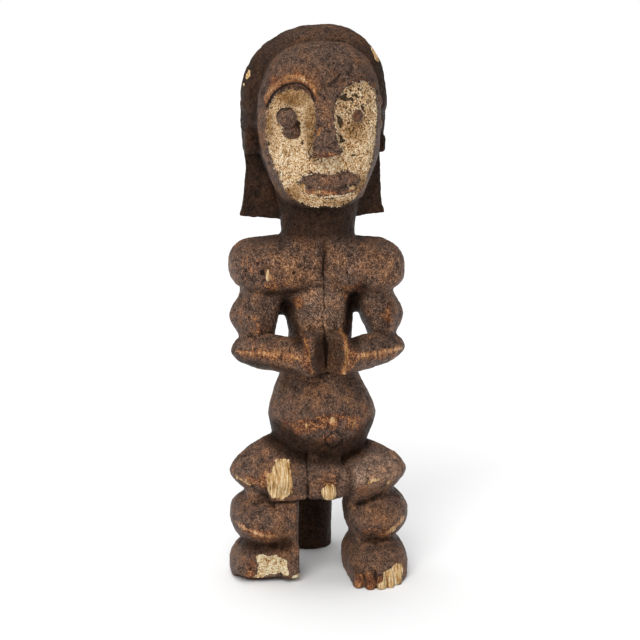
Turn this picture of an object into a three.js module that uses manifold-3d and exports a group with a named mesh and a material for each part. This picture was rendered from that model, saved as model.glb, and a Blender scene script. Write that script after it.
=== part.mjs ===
import * as THREE from 'three';
import { mergeVertices } from 'three/addons/utils/BufferGeometryUtils.js';
import Module from 'manifold-3d';

// A standing figure carved from one log, with a third leg behind it.
// Millimetres, +Z up. It faces -Y, and +X is at the viewer's right.
// Forms are placed from the upright axis of the log and moved at the end,
// so that the origin is under the middle of the whole figure.

const wasm = await Module();
wasm.setup();

// Driving dimensions
const height = 500;
const frontReach = 77;
const backReach = 87;
const halfWidth = 82;
const facet = 15.2;
const floorCut = 60;

// Legs: the right thigh hangs a little lower than the left
const legX = 50.5;
const footTop = 36;
const breakY = -40;
const toeX = 44.5;
const toeGap = 8.4;
const toeTop = 14;
const toeSweep = 1.7;
const toeCount = 5;
const calfZ = 57.5;
const kneeZ = 99;
const kneeX = 30;
const kneeDrop = 4;
const crotchZ = 81;
const postDepth = 21;

// Trunk and arms: the right arm hangs a little lower and farther out than the left
const pelvisZ = 112;
const bellyZ = 150;
const waistZ = 191;
const shoulderZ = 285;
const armReach = 79.5;
const armDrop = 3;
const upperArmZ = 241;
const forearmZ = 211;
const forearmSwing = 0.68;
const handLowZ = 197;
const handHighZ = 236;
const handsY = -62;
const grooveX = 1.5;
const chestFront = -34;

// Head
const neckRadius = 33;
const hoodZ = 430;
const earZ = 396;
const faceZ = 418;
const socketZ = 427;
const noseZ = 393;
const chinZ = 346;
const lappetZ = 327;

const sides = [-1, 1];
const turnedUp = Math.PI / 2;

function solidOf(geometry) {
  const bare = geometry.clone();
  bare.deleteAttribute('normal');
  bare.deleteAttribute('uv');
  const welded = mergeVertices(bare, 1e-4);
  const vertProperties = new Float32Array(welded.attributes.position.array);
  const triVerts = new Uint32Array(welded.index.array);
  return new wasm.Manifold(new wasm.Mesh({ numProp: 3, vertProperties, triVerts }));
}

function eachPoint(geometry, change) {
  const position = geometry.attributes.position;
  const point = new THREE.Vector3();
  for (let i = 0; i < position.count; i += 1) {
    point.fromBufferAttribute(position, i);
    change(point);
    position.setXYZ(i, point.x, point.y, point.z);
  }
}

function roundedReach(power, ...parts) {
  return parts.reduce((sum, part) => sum + Math.abs(part) ** power, 0) ** (1 / power);
}

function facetCount(girth, least) {
  return Math.max(least, 4 * Math.round(girth / facet / 4));
}

// A swelling form: an ellipsoid, boxier where power is over 2 and leaner under 2.
function lump({ at, radii, below = radii[2], power = 2, turn = [0, 0, 0] }) {
  const girth = Math.PI * (radii[0] + radii[1]);
  const rise = Math.PI * (Math.max(radii[0], radii[1]) + radii[2]) / 2;
  const levels = Math.max(6, 2 * Math.round(rise / facet / 2));
  const geometry = new THREE.SphereGeometry(1, facetCount(girth, 12), levels);
  geometry.rotateX(turnedUp);
  eachPoint(geometry, (point) => {
    point.divideScalar(roundedReach(power, point.x, point.y, point.z));
    point.set(point.x * radii[0], point.y * radii[1], point.z * (point.z > 0 ? radii[2] : below));
    point.applyEuler(new THREE.Euler(...turn));
    point.add(new THREE.Vector3(...at));
  });
  return solidOf(geometry);
}

// The smooth run of one measure between the sections of a column.
function runOf(sections, entry, z) {
  const last = sections.length - 1;
  let i = 0;
  while (i < last - 1 && z > sections[i + 1][0]) i += 1;
  const slope = (k) => {
    const low = sections[Math.max(k - 1, 0)];
    const high = sections[Math.min(k + 1, last)];
    return (high[entry] - low[entry]) / (high[0] - low[0]);
  };
  const span = sections[i + 1][0] - sections[i][0];
  const t = (z - sections[i][0]) / span;
  const rise = sections[i + 1][entry] - sections[i][entry];
  const ease = t * t * (3 - 2 * t);
  const lead = t * (1 - t) * (1 - t) * slope(i) * span;
  const tail = t * t * (t - 1) * slope(i + 1) * span;
  return sections[i][entry] + ease * rise + lead + tail;
}

// An upright form through sections of [z, middle x, middle y, half width, half depth].
function column(sections, power = 2) {
  const low = sections[0][0];
  const high = sections[sections.length - 1][0];
  const widest = Math.max(...sections.map((section) => section[3] + section[4]));
  const around = facetCount(Math.PI * widest, 12);
  const levels = Math.max(1, Math.round((high - low) / facet));
  const profile = [new THREE.Vector2(0, low)];
  for (let i = 0; i <= levels; i += 1) {
    profile.push(new THREE.Vector2(1, low + (high - low) * i / levels));
  }
  profile.push(new THREE.Vector2(0, high));
  const geometry = new THREE.LatheGeometry(profile, around);
  geometry.rotateX(turnedUp);
  eachPoint(geometry, (point) => {
    const z = point.z;
    const reach = Math.hypot(point.x, point.y) > 0.5 ? roundedReach(power, point.x, point.y) : 1;
    point.x = runOf(sections, 1, z) + point.x / reach * runOf(sections, 3, z);
    point.y = runOf(sections, 2, z) + point.y / reach * runOf(sections, 4, z);
  });
  return solidOf(geometry);
}

// A straight-sided block between a low and a high rectangle of [x0, x1, y0, y1, z].
function block(low, high) {
  const geometry = new THREE.BoxGeometry(1, 1, 1);
  eachPoint(geometry, (point) => {
    const level = point.z > 0 ? high : low;
    const [x0, x1, y0, y1, z] = level;
    point.set(point.x > 0 ? x1 : x0, point.y > 0 ? y1 : y0, z);
  });
  return solidOf(geometry);
}

// An upright prism between a low and a high outline of as many [x, y] corners.
function prism(corners, low, high, above = corners) {
  const outline = new THREE.Shape(corners.map(([x, y]) => new THREE.Vector2(x, y)));
  const geometry = new THREE.ExtrudeGeometry(outline, { depth: high - low, bevelEnabled: false });
  eachPoint(geometry, (point) => {
    const corner = corners.findIndex(([x, y]) => Math.hypot(point.x - x, point.y - y) < 1e-3);
    if (point.z > 0) point.set(...above[corner], high);
    else point.z = low;
  });
  return solidOf(geometry);
}

function joined(solids) {
  return solids.reduce((whole, solid) => whole.add(solid));
}

// The left foot has lost its toes: a rough face stands between two stumps.
function brokenFoot() {
  const body = lump({ at: [-legX, -13, 10], radii: [31, 40, footTop - 10], power: 2.4 });
  const lost = prism([[-95, breakY + 3], [-95, -90], [-12, -90], [-12, breakY - 3]], -floorCut, 60);
  const outerStump = lump({ at: [-65.5, -13, 9], radii: [16, 24, 19], below: 12, power: 2.3 });
  const innerStump = block([-37, -21, breakY - 7, 0, -10], [-36, -19, breakY - 3, 0, 34]);
  return joined([body.subtract(lost), outerStump, innerStump]);
}

function wholeFoot() {
  const body = lump({ at: [legX, -14, 9], radii: [30, 50, footTop - 9], power: 2.4 });
  const ball = lump({ at: [48, -40, 6], radii: [26, 24, 16], power: 2.3 });
  const toes = [];
  for (let i = 0; i < toeCount; i += 1) {
    const off = i - (toeCount - 1) / 2;
    const y = -frontReach + 16 + toeSweep * off * off;
    toes.push(lump({ at: [toeX + off * toeGap, y, 3], radii: [5.4, 16, toeTop - 3], power: 2.4 }));
  }
  return joined([body, ball, ...toes]);
}

function leg(side) {
  const drop = side > 0 ? kneeDrop : 0;
  const calf = lump({
    at: [side * legX, -12, calfZ], radii: [halfWidth - 0.5 - legX, 40, 24], below: 26, power: 2.2,
  });
  const thigh = lump({
    at: [side * kneeX, -10, kneeZ - drop], radii: [halfWidth - kneeX, 49, 35 - drop], below: 35, power: 1.5,
  });
  const depth = side < 0 ? 34 : 29;
  const core = column([
    [10, side * legX, -12, 22, 28],
    [38, side * legX, -12, 21, depth],
    [86, side * (legX - 2), -12, 18, depth],
  ], 2.6);
  const limb = joined([calf, core, thigh]);
  if (side > 0) return limb.add(wholeFoot());
  const shin = column([[14, -31, -12, 13, 28], [calfZ, -31, -12, 13, 36], [90, -32, -12, 14, 36]], 4);
  return joined([limb, shin, brokenFoot()]);
}

function rearPost() {
  const y = backReach - postDepth;
  return column([[-10, 2, y, 20.4, postDepth], [crotchZ, 2, y, 23.5, postDepth], [95, 2, y, 23, postDepth]]);
}

function hips() {
  const pelvis = lump({ at: [1, 4, pelvisZ], radii: [41, 41, 28], below: 38, power: 2.4 });
  const seats = sides.map((side) => lump({ at: [side * 15, 34, 102], radii: [22, 36, 24] }));
  const tail = lump({ at: [2, 58, 92], radii: [25, backReach - 58, 21], power: 2.3 });
  const lap = block([-45, -16, -48, 0, crotchZ - 3], [-40, -16, -45, 0, pelvisZ]);
  const loin = block([-16, 17, -57, 0, crotchZ], [-15, 16, -43, 0, 122]);
  const stump = lump({ at: [2.5, -50, 89], radii: [7.5, 12.5, 8], power: 2.6, turn: [0.15, 0, 0] });
  return joined([pelvis, ...seats, tail, lap, loin, stump]);
}

function trunk() {
  const body = column([
    [106, 1, -2, 34, 34],
    [118, 1.5, -6, 40, 38],
    [132, 2, -10, 44, 45],
    [bellyZ, 3, -13, 48.5, 47],
    [161, 2.5, -12, 47, 46],
    [176, 1.5, -9, 40.5, 40],
    [waistZ, 1, -6, 34, 34],
    [207, 1, -4, 30.5, 31],
    [223, 3, -2, 28.5, 31],
    [245, 2, 0, 32, 31],
    [262, 1, 0, 38, 32.5],
    [300, 0, 0, 46, 31],
  ]);
  const chest = lump({ at: [0, 0, shoulderZ + 2], radii: [58, 36, 26], below: 25, power: 2.6 });
  const webs = sides.map((side) => lump({ at: [side * 38, 4, 272], radii: [22, 30, 19], power: 2.6 }));
  const armpits = sides.map((side) => lump({ at: [side * 35, 9, 263], radii: [22, 20, 24], power: 2.8 }));
  return joined([body, chest, ...webs, ...armpits]);
}

function arm(side) {
  const drop = side > 0 ? armDrop : 0;
  const armX = side < 0 ? 57.5 : 60;
  const elbowX = side < 0 ? 55 : 59;
  const forearmReach = side < 0 ? 53 : 52;
  const shoulder = lump({
    at: [side * 40.5, 0, shoulderZ - drop], radii: [38.5, 38, 26], below: 22, power: 2.7,
  });
  const upper = lump({
    at: [side * armX, -1, upperArmZ - drop], radii: [armReach - armX, 34, 27], power: 1.8,
  });
  const core = column([
    [205, side * elbowX, -8, 71 - elbowX, 20],
    [222, side * elbowX, -2, 71 - elbowX, 24],
    [250, side * 52, 0, 18, 25],
    [275, side * 48, 0, 20, 26],
  ], 2.6);
  const forearm = lump({
    at: [side * 37, -39, forearmZ],
    radii: [forearmReach, 18, 16],
    below: 14,
    power: 1.8,
    turn: [0, 0, side * forearmSwing],
  });
  const past = block([-16, 16, -90, 0, 150], [-16, 16, -90, 0, 270]);
  return joined([shoulder, upper, core, forearm.subtract(past)]);
}

// Two flat hands meet in a groove that opens upwards, down to the chest at its top.
function hands() {
  const plate = column([
    [handLowZ, 0, handsY + 20, 18, 19],
    [215, 0, handsY + 20, 24, 20],
    [handHighZ, 0, handsY + 20, 19, 20],
  ], 5);
  const [left, right, open] = [grooveX - 18, grooveX + 16, handsY - 6];
  const groove = prism(
    [[left, open], [right, open], [grooveX, -48]], handLowZ - 5, handHighZ + 5,
    [[left, open], [right, open], [grooveX, chestFront]],
  );
  return plate.subtract(groove);
}

function neck() {
  return column([
    [290, 0, 0, 34, 28],
    [304, 0, -4, neckRadius, 30],
    [322, 0, -6, neckRadius, 33],
    [347, 0, -7, 37, 34],
    [372, 0, -8, 42, 34],
  ]);
}

function hood() {
  const rise = height - hoodZ;
  const dome = lump({ at: [-2, 14, hoodZ], radii: [64, 50, rise - 3], below: 20, power: 2.1 });
  const fuller = lump({ at: [6, 6, hoodZ], radii: [57.5, 38, rise], below: 20, power: 2.3 });
  const curtain = column([
    [lappetZ, 0, 24, 66.5, 40],
    [340, 0, 22, 63.5, 40],
    [372, 0, 20, 61.5, 42],
    [400, -0.5, 17, 64, 46],
    [hoodZ, -1, 14, 65, 50],
  ]);
  const [back, behind] = [36, 4];
  const throat = prism([
    [-90, back], [-90, -60], [90, -60], [90, back], [neckRadius, behind], [-neckRadius, behind],
  ], lappetZ - 27, 388);
  const ears = sides.map((side) => {
    const rise = side < 0 ? 11 : 8;
    const out = side < 0 ? 57 : 54;
    return lump({ at: [side * out, 5, earZ - 2 * side], radii: [8, 12, rise], power: 5 });
  });
  return joined([dome, fuller, curtain.subtract(throat), ...ears]);
}

function brow(side) {
  const points = [[7, -57.5, 443], [14, -59, 452], [27, -56.5, 457], [40, -49.5, 452], [50, -38, 436]];
  const path = new THREE.CatmullRomCurve3(points.map(([x, y, z]) => new THREE.Vector3(side * x, y, z)));
  const section = new THREE.Shape();
  section.absellipse(0, 0, 3, 3, 0, 2 * Math.PI);
  const geometry = new THREE.ExtrudeGeometry(section, { steps: 8, curveSegments: 6, extrudePath: path });
  return solidOf(geometry);
}

function head() {
  const egg = lump({ at: [-1, -15, faceZ], radii: [55, 46, 70], below: 20, power: 2.6 });
  const jaw = column([
    [chinZ, 0, -14, 28, 41],
    [352, 0, -14, 35.5, 45],
    [362, 0, -14, 41.5, 46],
    [375, 0, -14, 47, 44],
    [388, 0, -14, 51.5, 43],
    [405, -0.5, -14, 54, 45],
    [faceZ, -1, -15, 55, 46],
  ], 2.6);
  const sockets = sides.map((side) => {
    return lump({ at: [side * 28 - 1, -68, socketZ], radii: [21.5, 15, 25], power: 2.4 });
  });
  const skull = sockets.reduce((rest, socket) => rest.subtract(socket), egg.add(jaw));
  const nose = block([-14.5, 12, -69, -45, noseZ], [-7, 5, -57, -45, noseZ + 55]);
  const leftEye = lump({ at: [-31.5, -50, 419], radii: [7.5, 12, 8.5], power: 2.5, turn: [0.5, 0, 0] });
  const rightEye = lump({ at: [27, -50, 425], radii: [6.5, 10, 7], power: 2.5, turn: [0.5, 0, 0] });
  const lips = [364.5, 371.5].map((z) => lump({ at: [2.5, -55, z], radii: [26, 6.5, 4.5] }));
  return joined([skull, nose, leftEye, rightEye, ...lips, ...sides.map(brow)]);
}

function figure() {
  const legs = joined([...sides.map(leg), hips()]);
  const between = block([-18, 22, -90, 44, -floorCut], [-18, 25, -90, 44, crotchZ]);
  const whole = joined([
    legs.subtract(between), rearPost(), trunk(), ...sides.map(arm), hands(), neck(), hood(), head(),
  ]);
  const [left, right, open] = [grooveX - 7, grooveX + 7, chestFront - 8];
  const valley = prism([[left, open], [right, open], [grooveX, chestFront]], handHighZ, 310);
  const span = 2 * halfWidth;
  const underfoot = block([-span, span, -span, span, -floorCut], [-span, span, -span, span, 0]);
  return whole.subtract(valley).subtract(underfoot);
}

function meshOf(name, solid, material) {
  const { vertProperties, triVerts } = solid.getMesh();
  const geometry = new THREE.BufferGeometry();
  geometry.setAttribute('position', new THREE.BufferAttribute(vertProperties, 3));
  geometry.setIndex(new THREE.BufferAttribute(triVerts, 1));
  geometry.computeVertexNormals();
  const mesh = new THREE.Mesh(geometry, material);
  mesh.name = name;
  return mesh;
}

const carvedWood = new THREE.MeshStandardMaterial({ color: 0x4f3d32, roughness: 0.72, metalness: 0 });

const model = new THREE.Group();
const carving = meshOf('figure', figure(), carvedWood);
const middle = new THREE.Box3().setFromObject(carving).getCenter(new THREE.Vector3());
carving.position.set(-middle.x, -middle.y, 0);
model.add(carving);

export default model;
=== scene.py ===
import itertools
import math
from collections import namedtuple

import bpy
import numpy as np
from mathutils import Matrix, Vector


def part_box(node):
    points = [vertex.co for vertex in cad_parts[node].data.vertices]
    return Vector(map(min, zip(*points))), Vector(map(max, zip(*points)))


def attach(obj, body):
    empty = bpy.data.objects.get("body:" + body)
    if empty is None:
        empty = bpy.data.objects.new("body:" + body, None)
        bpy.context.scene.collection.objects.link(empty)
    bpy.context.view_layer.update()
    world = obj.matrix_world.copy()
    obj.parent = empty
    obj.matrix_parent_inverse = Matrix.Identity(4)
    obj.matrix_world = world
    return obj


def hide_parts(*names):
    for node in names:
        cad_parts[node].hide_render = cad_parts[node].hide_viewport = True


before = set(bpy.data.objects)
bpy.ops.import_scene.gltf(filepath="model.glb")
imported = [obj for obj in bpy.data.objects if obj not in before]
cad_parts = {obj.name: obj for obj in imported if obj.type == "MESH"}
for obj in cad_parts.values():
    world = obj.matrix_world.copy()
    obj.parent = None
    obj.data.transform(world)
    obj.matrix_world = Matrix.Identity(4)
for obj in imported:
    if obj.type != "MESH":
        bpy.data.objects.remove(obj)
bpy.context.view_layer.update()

# A standing figure carved from one log, with a third leg behind it.
# The forms of the solid are carved again here as a field of distances, in
# millimetres from the log's upright axis, so that creases, chips, cracks and
# worn edges can be cut at their real size. Metres come in with the mesh.

MM = 0.001
NODE_LOW, NODE_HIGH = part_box("figure")
FRONT_REACH = 77.0
BACK_REACH = 87.0
AXIS_Y = NODE_HIGH.y / MM - BACK_REACH
HALF_WIDTH = NODE_HIGH.x / MM
HEIGHT = NODE_HIGH.z / MM

# The grid's pitch, the farthest distance it keeps, and the least values that a form divides by
PITCH = 1.1
FAR = 12.0
LEAST_SLOPE = 0.3
LEAST_GIRTH = 1e-3
CROWDING_STEP = 2
MOST_TRIANGLES = 190000
NOISE_CELLS = 32

# Marks stay in front of this y. A line has so many steps between two of its points.
FRONT = -20.0
STROKE_STEPS = 5
RIDGE_STEPS = 6

# Places that several forms share
SIDES = (-1, 1)
TOES = ((28, -54), (38, -58.5), (48, -60), (56.5, -57), (64, -50))
CROTCH_Z = 81
ARM_REACH = 79.5
ELBOW_REACH = 71
HANDS_Y = -42
GROOVE_X = 1.5
FACE_Z = 418
HOOD_Z = 430
THROAT_TOP = 388

Form = namedtuple("Form", "low high distance")


# Soft joins between two distances

def soft_min(first, second, blend):
    overlap = np.maximum(blend - np.abs(first - second), 0) / blend
    return np.minimum(first, second) - overlap * overlap * blend / 4


def soft_max(first, second, blend):
    return -soft_min(-first, -second, blend)


def ramp(value, low, high):
    part = np.clip((value - low) / (high - low), 0, 1)
    return part * part * (3 - 2 * part)


def read_between(grid, base, part):
    """A grid read between its points, at a part of the way from each base point to the next."""
    total = np.zeros(len(base))
    for corner in itertools.product((0, 1), repeat=3):
        weight = np.prod(np.where(corner, part, 1 - part), axis=1)
        total += weight * grid[tuple(((base + corner) % grid.shape).T)]
    return total


# Forms: each has a box and a distance that is below zero inside it

def lump(at, radii, below=None, power=2.0, ends=None, turn=(2, 0.0)):
    """A swelling form: an ellipsoid, boxier where power is over 2 and leaner under 2.

    Its two ends along x may have a power of their own, so that a bar can end bluntly.
    """
    ends = power if ends is None else ends
    around, angle = turn
    others = [axis for axis in range(3) if axis != around]
    cosine, sine = math.cos(angle), math.sin(angle) * (-1 if around == 1 else 1)
    down = radii[2] if below is None else below
    reach = max(*radii, down) if angle else np.maximum(radii, (0, 0, down))

    def distance(*grid):
        part = [values - middle for values, middle in zip(grid, at)]
        first, second = part[others[0]], part[others[1]]
        part[others[0]] = cosine * first + sine * second
        part[others[1]] = cosine * second - sine * first
        scale = [radii[0], radii[1], np.where(part[2] > 0, radii[2], down)]
        share = [np.abs(values) / radius for values, radius in zip(part, scale)]
        girth = np.maximum(share[1] ** power + share[2] ** power, LEAST_GIRTH)
        total = share[0] ** ends + girth ** (ends / power)
        round_girth = sum((share[i] ** (power - 1) / scale[i]) ** 2 for i in (1, 2))
        steepness = (share[0] ** (ends - 1) / scale[0]) ** 2 + round_girth * girth ** (2 * ends / power - 2)
        slope = np.maximum(np.sqrt(steepness) * total ** (1 / ends - 1), LEAST_SLOPE / np.max(reach))
        return (total ** (1 / ends) - 1) / slope

    middle = np.array(at)
    return Form(middle - reach, middle + reach, distance)


def run_of(sections, entry, z):
    """The smooth run of one measure between the sections of a column."""
    levels, values = sections[:, 0], sections[:, entry]
    padded = np.pad(sections, ((1, 1), (0, 0)), mode="edge")
    rises = padded[2:] - padded[:-2]
    slopes = rises[:, entry] / rises[:, 0]
    i = np.clip(np.searchsorted(levels, z) - 1, 0, len(levels) - 2)
    span = levels[i + 1] - levels[i]
    t = (z - levels[i]) / span
    rise = t * t * (3 - 2 * t) * (values[i + 1] - values[i])
    lead = t * (1 - t) * (1 - t) * slopes[i] * span
    tail = t * t * (t - 1) * slopes[i + 1] * span
    return values[i] + rise + lead + tail


def column(sections, power=2.0):
    """An upright form through sections of (z, middle x, middle y, half width, half depth)."""
    table = np.array(sections, dtype=float)
    low, high = table[0, 0], table[-1, 0]

    def distance(x, y, z):
        level = np.clip(z, low, high)
        middle_x, middle_y, half_x, half_y = (run_of(table, entry, level) for entry in range(1, 5))
        share_x, share_y = np.abs(x - middle_x) / half_x, np.abs(y - middle_y) / half_y
        total = np.maximum(share_x ** power + share_y ** power, LEAST_GIRTH)
        steepness = (share_x ** (power - 1) / half_x) ** 2 + (share_y ** (power - 1) / half_y) ** 2
        least = LEAST_SLOPE / np.maximum(half_x, half_y)
        slope = np.maximum(np.sqrt(steepness) * total ** (1 / power - 1), least)
        side = (total ** (1 / power) - 1) / slope
        return np.maximum(side, np.maximum(low - z, z - high))

    bulge = 2
    middles, reach = table[:, 1:3], table[:, 3:].max(axis=0) + bulge
    return Form((*middles.min(axis=0) - reach, low), (*middles.max(axis=0) + reach, high), distance)


def block(low, high, rounding=1.0):
    """A straight-sided block between a low and a high rectangle of (x0, x1, y0, y1, z)."""
    def distance(x, y, z):
        part = np.clip((z - low[4]) / (high[4] - low[4]), 0, 1)
        x0, x1, y0, y1 = (start + (end - start) * part for start, end in zip(low[:4], high[:4]))
        across = soft_max(x0 - x, x - x1, rounding)
        along = soft_max(y0 - y, y - y1, rounding)
        upright = np.maximum(low[4] - z, z - high[4])
        return soft_max(soft_max(across, along, rounding), upright, rounding)

    x_ends, y_ends = (*low[:2], *high[:2]), (*low[2:4], *high[2:4])
    return Form((min(x_ends), min(y_ends), low[4]), (max(x_ends), max(y_ends), high[4]), distance)


def prism(corners, low, high, above=None):
    """An upright prism over a flat outline of (x, y) corners that bulges nowhere inwards.

    Its outline may change evenly to another one above.
    """
    outline = np.array(corners, dtype=float)
    change = np.array(corners if above is None else above, dtype=float) - outline
    following, next_change = np.roll(outline, -1, axis=0), np.roll(change, -1, axis=0)
    area = np.sum(outline[:, 0] * following[:, 1] - following[:, 0] * outline[:, 1])

    def distance(x, y, z):
        rise = np.clip((z - low) / (high - low), 0, 1)
        worst = np.maximum(low - z, z - high)
        for start, shift, end, end_shift in zip(outline, change, following, next_change):
            x0, y0 = (start[i] + shift[i] * rise for i in (0, 1))
            x1, y1 = (end[i] + end_shift[i] * rise for i in (0, 1))
            length = np.hypot(x1 - x0, y1 - y0) * math.copysign(1, area)
            worst = np.maximum(worst, ((x - x0) * (y1 - y0) - (y - y0) * (x1 - x0)) / length)
        return worst

    ends = np.concatenate([outline, outline + change])
    return Form((*ends.min(axis=0), low), (*ends.max(axis=0), high), distance)


def smooth_path(points, steps):
    """A flowing path through given points, with so many steps between each two."""
    points = np.array(points, dtype=float)
    table = np.column_stack([np.arange(len(points)), points])
    places = np.linspace(0, len(points) - 1, steps * (len(points) - 1) + 1)
    return np.column_stack([run_of(table, entry, places) for entry in range(1, table.shape[1])])


def ridge(points, radius):
    """A round rib along a flowing path."""
    path = smooth_path(points, RIDGE_STEPS)

    def distance(x, y, z):
        nearest = np.full(np.broadcast(x, y, z).shape, FAR * FAR)
        for start, end in zip(path, path[1:]):
            way = end - start
            offsets = [values - place for values, place in zip((x, y, z), start)]
            part = np.clip(sum(offset * step for offset, step in zip(offsets, way)) / (way @ way), 0, 1)
            gap = sum((offset - part * step) ** 2 for offset, step in zip(offsets, way))
            nearest = np.minimum(nearest, gap)
        return np.sqrt(nearest) - radius

    return Form(path.min(axis=0) - radius, path.max(axis=0) + radius, distance)


def without(form, lost, blend=1.0):
    """A form with the part of it that lies inside another taken away."""
    def distance(x, y, z):
        return soft_max(form.distance(x, y, z), -lost.distance(x, y, z), blend)

    return Form(form.low, form.high, distance)


class Carving:
    """The log as distances on a grid: forms are added to it and cut from it."""

    def __init__(self, low, high):
        self.low = np.array(low, dtype=float)
        self.axes = [np.arange(a, b, PITCH) for a, b in zip(low, high)]
        self.field = np.full([len(axis) for axis in self.axes], FAR, dtype=np.float32)

    def window(self, form, margin):
        spans = []
        for axis, low, high in zip(self.axes, form.low, form.high):
            spans.append(slice(np.searchsorted(axis, low - margin), np.searchsorted(axis, high + margin)))
        grids = np.ix_(*(axis[span] for axis, span in zip(self.axes, spans)))
        return tuple(spans), grids

    def add(self, form, blend=2.0):
        spans, grids = self.window(form, FAR / 2 + blend)
        self.field[spans] = soft_min(self.field[spans], form.distance(*grids), blend)

    def cut(self, form, blend=1.0):
        spans, grids = self.window(form, FAR / 2 + blend)
        self.field[spans] = soft_max(self.field[spans], -form.distance(*grids), blend)

    def sample(self, points, grid=None, step=1):
        """The field, or another grid on every step-th point, read between its points."""
        grid = self.field if grid is None else grid
        place = (points - self.low) / (PITCH * step)
        place = np.clip(place, 0, np.array(grid.shape) - 1.001)
        base = place.astype(int)
        return read_between(grid, base, place - base)

    def slope(self, points):
        reach = 0.7 * PITCH
        steps = np.eye(3) * reach
        rises = [self.sample(points + step) - self.sample(points - step) for step in steps]
        return np.stack(rises, axis=1) / (2 * reach)

    def crowding(self, points, rounds):
        """How much wood lies round each point: zero on a flat face, more in a hollow.

        More rounds of smoothing look farther round it.
        """
        step = CROWDING_STEP
        grid = np.clip(0.5 - self.field[::step, ::step, ::step] / (PITCH * step), 0, 1)
        for _ in range(rounds):
            for axis in range(3):
                grid = (np.roll(grid, 1, axis) + 2 * grid + np.roll(grid, -1, axis)) / 4
        return self.sample(points, grid, step) - 0.5

    def surface(self):
        """Points and four-cornered faces round the level where the distance is zero."""
        strides = np.array([self.field.shape[1] * self.field.shape[2], self.field.shape[2], 1])
        rings, crossings = [], []
        for axis in range(3):
            count = self.field.shape[axis]
            lower = np.take(self.field, range(count - 1), axis=axis)
            upper = np.take(self.field, range(1, count), axis=axis)
            found = np.argwhere((lower < 0) != (upper < 0))
            start, end = lower[tuple(found.T)], upper[tuple(found.T)]
            crossing = found.astype(float)
            crossing[:, axis] += start / (start - end)
            across, along = strides[(axis + 1) % 3], strides[(axis + 2) % 3]
            cell = found @ strides
            ring = np.stack([cell, cell - across, cell - across - along, cell - along], axis=1)
            ring[start > 0] = ring[start > 0][:, ::-1]
            rings.append(ring)
            crossings.append(crossing)
        rings, crossings = np.concatenate(rings), np.concatenate(crossings)
        cells, faces = np.unique(rings, return_inverse=True)
        faces = faces.reshape(-1, 4)
        count = np.bincount(faces.ravel(), minlength=len(cells))
        sums = [np.bincount(faces.ravel(), weights=np.repeat(crossings[:, d], 4)) for d in range(3)]
        points = np.stack(sums, axis=1) / count[:, None] * PITCH + self.low
        settling_rounds, least_steep = 2, 0.2
        for _ in range(settling_rounds):
            slope = self.slope(points)
            steep = np.maximum(np.sum(slope * slope, axis=1), least_steep)
            move = np.clip(self.sample(points) / steep, -PITCH / 2, PITCH / 2)
            points -= slope * move[:, None]
        return points, faces


# Legs, feet and the post behind them

def carve_broken_foot(carving):
    """The left foot has lost its toes: a rough face stands between two stumps."""
    carving.add(lump((-50.5, -13, 10), (31, 40, 26), power=2.4))
    carving.cut(prism([(-95, -37), (-12, -43), (-12, -90), (-95, -90)], -50, 60), blend=2)
    carving.add(lump((-65.5, -13, 9), (16, 24, 19), below=12, power=2.3), blend=3)
    carving.add(block((-38, -22, -47, 0, -10), (-37, -21, -43, 0, 34), rounding=5), blend=3)
    carving.cut(block((-95, -12, -60, -20, -10), (-95, -12, -60, -33, 4), rounding=2), blend=2)
    carving.cut(lump((-82, -36, -2), (16, 18, 9)), blend=3)


def carve_whole_foot(carving):
    carving.add(lump((51.5, -14, 9), (29, 50, 27), power=2.4))
    carving.add(lump((48, -38, 6), (24, 25, 17), power=2.5), blend=8)
    for x, y in TOES:
        carving.add(lump((x, y, 3), (5.5, 16, 12), power=2.6), blend=2.5)


def carve_leg(carving, side):
    drop = 4 if side > 0 else 0
    if side < 0:
        carve_broken_foot(carving)
    else:
        carve_whole_foot(carving)
    calf_x, calf_reach = (-50.5, 31) if side < 0 else (51.5, 30)
    calf = lump((calf_x, -12, 57.5), (calf_reach, 40, 21.5), below=26, power=2.2)
    thigh = lump((side * 30, -10, 99 - drop), (52, 49, 35 - drop), below=35, power=1.5)
    levels = ((10, 22, 26), (36, 21, 26), (60, 20, 30), (78, 18, 24), (90, 18, 24))
    core = [(z, side * 50, -12, wide, deep) for z, wide, deep in levels]
    carving.add(column(core, 2.6), blend=3)
    carving.add(calf, blend=3)
    if side < 0:
        levels = ((14, 28), (36, 28), (57, 36), (74, 35), (81, 28), (90, 28))
        carving.add(column([(z, -34, -12, 13, deep) for z, deep in levels], 4))
    carving.add(thigh, blend=1.5)


def carve_hips(carving):
    carving.cut(block((-21, 23, -90, 44, -50), (-21, 25, -90, 44, CROTCH_Z)), blend=2)
    carving.add(column([(-10, 3, 66, 20.4, 21), (CROTCH_Z, 2, 66, 23.5, 21), (95, 2, 66, 23, 21)]))
    carving.add(lump((1, 4, 112), (41, 41, 28), below=38, power=2.4), blend=3)
    for side in SIDES:
        carving.add(lump((side * 15, 34, 102), (22, 36, 24)), blend=3)
    carving.add(lump((2, 58, 92), (25, BACK_REACH - 58, 21), power=2.3), blend=3)
    carving.add(block((-50, -16, -50, 0, 79), (-44, -16, -46, 0, 112), rounding=4), blend=4)
    carving.add(block((-16, 17, -57, 0, CROTCH_Z), (-15, 16, -43, 0, 122), rounding=5), blend=2)
    carving.add(lump((2.5, -50, 89), (7.5, 12.5, 8), power=2.6, turn=(0, 0.15)), blend=3)


# Trunk, arms and hands

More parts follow.
